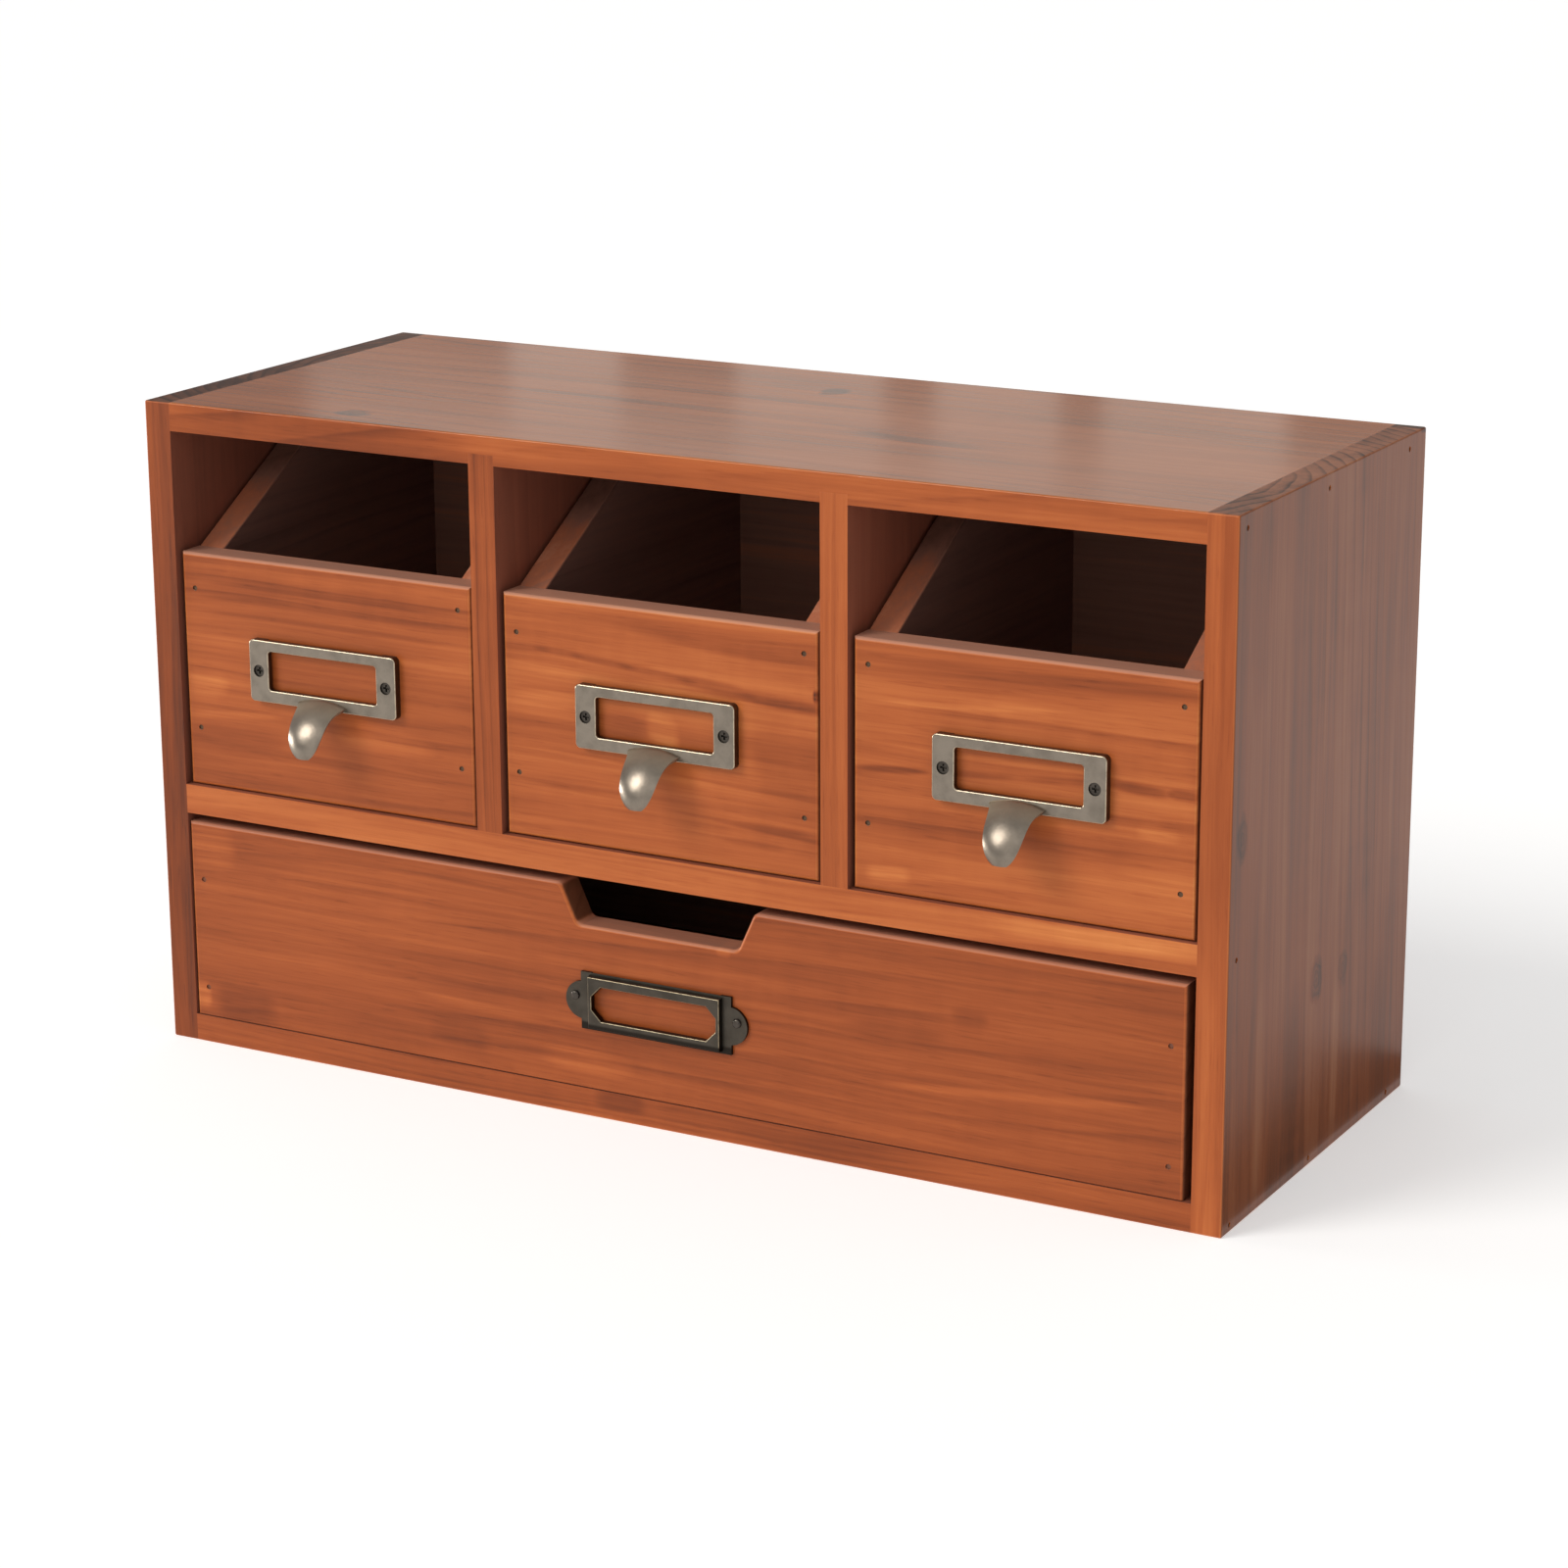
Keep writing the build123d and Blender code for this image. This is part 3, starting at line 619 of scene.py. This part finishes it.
def case_boards():
    """Boards of the case, each with its own place in the log."""
    # faces inside the case take painted shade
    return {
        "top_panel": dict(
            axes="XYZ", pith=(0.012, -0.045), spacing=0.0052, lean=0.10, tone=0.46, figure=0.7,
            roughness=top_roughness, faces=[(down, shaded_wall_steps), (up, shaded_upper_steps)],
            marks=top_marks, knots=top_knots,
        ),
        "bottom_panel": dict(
            axes="XZY", pith=(0.05, -0.02), spacing=0.0045, tone=0.36, figure=0.7, faces=[(up, shaded_wall_steps)],
            marks=bottom_marks,
        ),
        "middle_shelf": dict(
            axes="XZY", pith=(-0.04, 0.03), spacing=0.004, tone=0.55, figure=0.8,
            faces=[(up, shaded_wall_steps), (down, shaded_wall_steps)], marks=shelf_marks,
        ),
        "left_side_panel": dict(
            axes="ZYX", pith=(0.02, 0.06), spacing=0.0042, tone=0.22, figure=0.6,
            faces=[(right, shaded_wall_steps), (left, shaded_outer_steps), (up, end_steps)],
        ),
        "right_side_panel": dict(
            axes="ZYX", pith=(-0.03, -0.05), spacing=0.0042, lean=0.06, tone=0.5,
            faces=[(left, shaded_wall_steps), (right, shaded_outer_steps), (up, end_steps)],
            marks=side_marks, knots=side_knots,
        ),
        "left_divider": dict(
            axes="ZYX", pith=(-0.07, 0.04), spacing=0.0036, tone=0.36, figure=0.6,
            faces=[(left, shaded_wall_steps), (right, shaded_wall_steps)],
        ),
        "right_divider": dict(
            axes="ZYX", pith=(-0.08, -0.03), spacing=0.004, tone=0.48, figure=0.6,
            faces=[(left, shaded_wall_steps), (right, shaded_wall_steps)],
        ),
        "back_panel": dict(
            axes="XZY", pith=(0.05, 0.09), spacing=0.006, tone=0.55, figure=0.6, steps=shaded_outer_steps,
        ),
    }


def drawer_fronts():
    """Fronts of the drawers, with their grain from side to side."""
    # backs of the fronts in painted shade; their ends dark end grain with painted shade
    shared = dict(axes="XZY", faces=[(back, shaded_wall_steps), (left, end_grain_and_shade_steps), (right, end_grain_and_shade_steps)])
    return {
        # the fronts take a painted highlight on their upward faces
        "left_drawer_front": dict(
            pith=(-0.055, 0.03), spacing=0.0045, tone=0.46, figure=0.7, upward_highlight=0.5,
            marks=left_marks, **shared,
        ),
        "middle_drawer_front": dict(
            pith=(0.045, 0.04), spacing=0.0085, lean=0.055, tone=0.53, figure=0.8, upward_highlight=0.5,
            marks=middle_marks, **shared,
        ),
        "right_drawer_front": dict(
            pith=(-0.05, 0.05), spacing=0.007, tone=0.53, figure=0.9, upward_highlight=0.5,
            marks=right_marks, **shared,
        ),
        "wide_drawer_front": dict(
            pith=(-0.06, 0.06), spacing=0.006, lean=-0.04, tone=0.36, figure=0.5, upward_highlight=0.3,
            marks=wide_marks, **shared,
        ),
    }


def drawer_boards(name):
    """Sides, back and bottom of one drawer."""
    plain = dict(spacing=0.005, figure=0.65, steps=inner_steps, edge_lift=0.25)
    # the sloping edges of the sides take painted shadow of the board above, and are pale only near the front
    side = dict(axes="YZX", pith=(-0.07, 0.04), shadow_span=(-0.025, -0.042), **plain)
    return {
        # inner faces of the sides: the left one darker as painted shade, the right one in the fronts'
        # brighter stain as painted light
        f"{name}_drawer_left_side": dict(faces=[(right, shaded_inner_steps)], **side),
        f"{name}_drawer_right_side": dict(faces=[(left, stain_steps)], **side),
        f"{name}_drawer_back": dict(axes="XZY", pith=(0.06, 0.05), **plain),
        f"{name}_drawer_bottom": dict(axes="XYZ", pith=(0.1, 0.1), **plain),
    }


def dress_wood():
    """Stain every board."""
    boards = {**case_boards(), **drawer_fronts()}
    for name in ("left", "middle", "right", "wide"):
        boards.update(drawer_boards(name))
    for seed, (node_name, cut) in enumerate(boards.items(), start=1):
        dress(node_name, wood(node_name, seed=seed, **cut))


def dress_metal():
    """Finish the castings, the label frame and the fasteners."""
    finishes = {name: fastener_metal(name, *values) for name, values in fastener_finishes.items()}
    pull = (pewter, pewter_wear_and_sheen, pewter_shade, pewter_roughness, pull_plate, pull_shaded_rim)
    label_frame = (bronze, bronze_worn, bronze_shade, bronze_roughness, frame_plate, frame_shaded_rim)
    for node_name in nodes:
        endings = [ending for ending in fasteners if node_name.endswith(ending)]
        if node_name.endswith("label_pull"):
            dress(node_name, cast_metal(node_name, *pull))
        elif node_name.endswith("label_frame"):
            dress(node_name, cast_metal(node_name, *label_frame))
        elif endings:
            dress(node_name, finishes[fasteners[endings[0]]])


# Studio

def sheet(name, x_span, y_span, height):
    """Level sheet and its paint."""
    (x_low, x_high), (y_low, y_high) = x_span, y_span
    corners = [(x_low, y_low), (x_high, y_low), (x_high, y_high), (x_low, y_high)]
    mesh = bpy.data.meshes.new(name)
    mesh.from_pydata([(x, y, height) for x, y in corners], [], [(0, 1, 2, 3)])
    paint = Paint(f"{name}_paint")
    mesh.materials.append(paint.material)
    plane = bpy.data.objects.new(name, mesh)
    bpy.context.scene.collection.objects.link(plane)
    return plane, paint


def floor():
    """Plain pale floor under the case."""
    plane, paint = sheet("floor", (-floor_half, floor_half), (-floor_half, floor_half), 0.0)
    paint.shade(
        Base_Color=floor_colour, Roughness=floor_roughness,
        Emission_Color=floor_colour, Emission_Strength=floor_glow,
    )


def shadow_card():
    """Dark card beside the case, seen only in the varnish: a painted contact shadow in the floor's
    reflection.
    """
    plane, paint = sheet("shadow_card", card_x, card_y, card_lift)
    # painted shadow colour of the card
    paint.shade(Base_Color=shadow_card_colour)
    plane.visible_camera = False
    plane.visible_diffuse = False
    plane.visible_shadow = False


def lamp(light, towards, place=(0.0, 0.0, 0.0)):
    """Hang a light so that it shines from a direction."""
    holder = bpy.data.objects.new(light.name, light)
    holder.location = place
    holder.rotation_mode = "QUATERNION"
    holder.rotation_quaternion = Vector(towards).to_track_quat("Z", "Y")
    bpy.context.scene.collection.objects.link(holder)
    return holder


def pane_light(name, towards, place, size, power, colour):
    """Soft light from a level-edged pane."""
    light = bpy.data.lights.new(name, "AREA")
    light.shape = "RECTANGLE"
    light.size, light.size_y = size
    light.energy = power
    light.color = colour
    return lamp(light, towards, place)


def window():
    """Panes of soft light behind the case, which the top board mirrors."""
    panes = [(*upper_pane, window_bar, window_top)]
    panes += [(*pane, window_bottom, window_bar) for pane in lower_panes]
    for number, (left_end, right_end, bottom, top) in enumerate(panes):
        width, height = right_end - left_end, top - bottom
        place = ((left_end + right_end) / 2, window_place, (bottom + top) / 2)
        power = window_glow * width * height * pi
        pane_light(f"window_{number}", back, place, (width, height), power, window_colour)


def side_light():
    """Low lamp at the left of the case."""
    holder = pane_light("rim_light", rim_from, rim_place, rim_size, rim_power, lamp_colour)
    holder.visible_camera = False


def soft_light(name, towards, strength, spread):
    """Broad soft light from a direction."""
    light = bpy.data.lights.new(name, "SUN")
    light.energy = strength
    light.angle = radians(spread)
    light.color = lamp_colour
    lamp(light, towards)


def room():
    """Even room with a dimmer wall behind the object."""
    world = bpy.data.worlds.new("studio")
    bpy.context.scene.world = world
    world.use_nodes = True
    tree = world.node_tree
    direction = tree.nodes.new("ShaderNodeTexCoord").outputs["Generated"]
    near = tree.nodes.new("ShaderNodeVectorMath")
    near.operation = "DOT_PRODUCT"
    near.inputs[1].default_value = Vector(rear_wall_from).normalized()
    tree.links.new(direction, near.inputs[0])
    ramp = tree.nodes.new("ShaderNodeValToRGB")
    ramp.color_ramp.interpolation = "EASE"
    ramp.color_ramp.elements[0].position = rear_wall_edge
    ramp.color_ramp.elements[0].color = (*room_colour, 1)
    ramp.color_ramp.elements[1].position = 1.0
    ramp.color_ramp.elements[1].color = (*rear_wall_colour, 1)
    tree.links.new(near.outputs["Value"], ramp.inputs[0])
    tree.links.new(ramp.outputs["Color"], tree.nodes["Background"].inputs["Color"])


def camera():
    """Camera at the photograph's viewing angle."""
    yaw, pitch, roll = (radians(angle) for angle in (camera_yaw, camera_pitch, camera_roll))
    forward = Vector((sin(yaw) * cos(pitch), cos(yaw) * cos(pitch), sin(pitch)))
    level = forward.cross(Vector(up)).normalized()
    upright = level.cross(forward)
    turned_right = level * cos(roll) + upright * sin(roll)
    turned_up = upright * cos(roll) - level * sin(roll)
    data = bpy.data.cameras.new("photo_camera")
    data.sensor_width = camera_sensor
    data.lens = camera_sensor * camera_focal_share
    eye = bpy.data.objects.new("photo_camera", data)
    turn = Matrix((turned_right, turned_up, -forward)).transposed()
    eye.matrix_world = Matrix.Translation(camera_place) @ turn.to_4x4()
    bpy.context.scene.collection.objects.link(eye)
    bpy.context.scene.camera = eye


dress_wood()
dress_metal()
floor()
shadow_card()
window()
room()
soft_light("key_light", key_from, key_strength, key_spread)
soft_light("fill_light", fill_from, fill_strength, fill_spread)
side_light()
camera()
bpy.context.scene.view_settings.view_transform = "Standard"
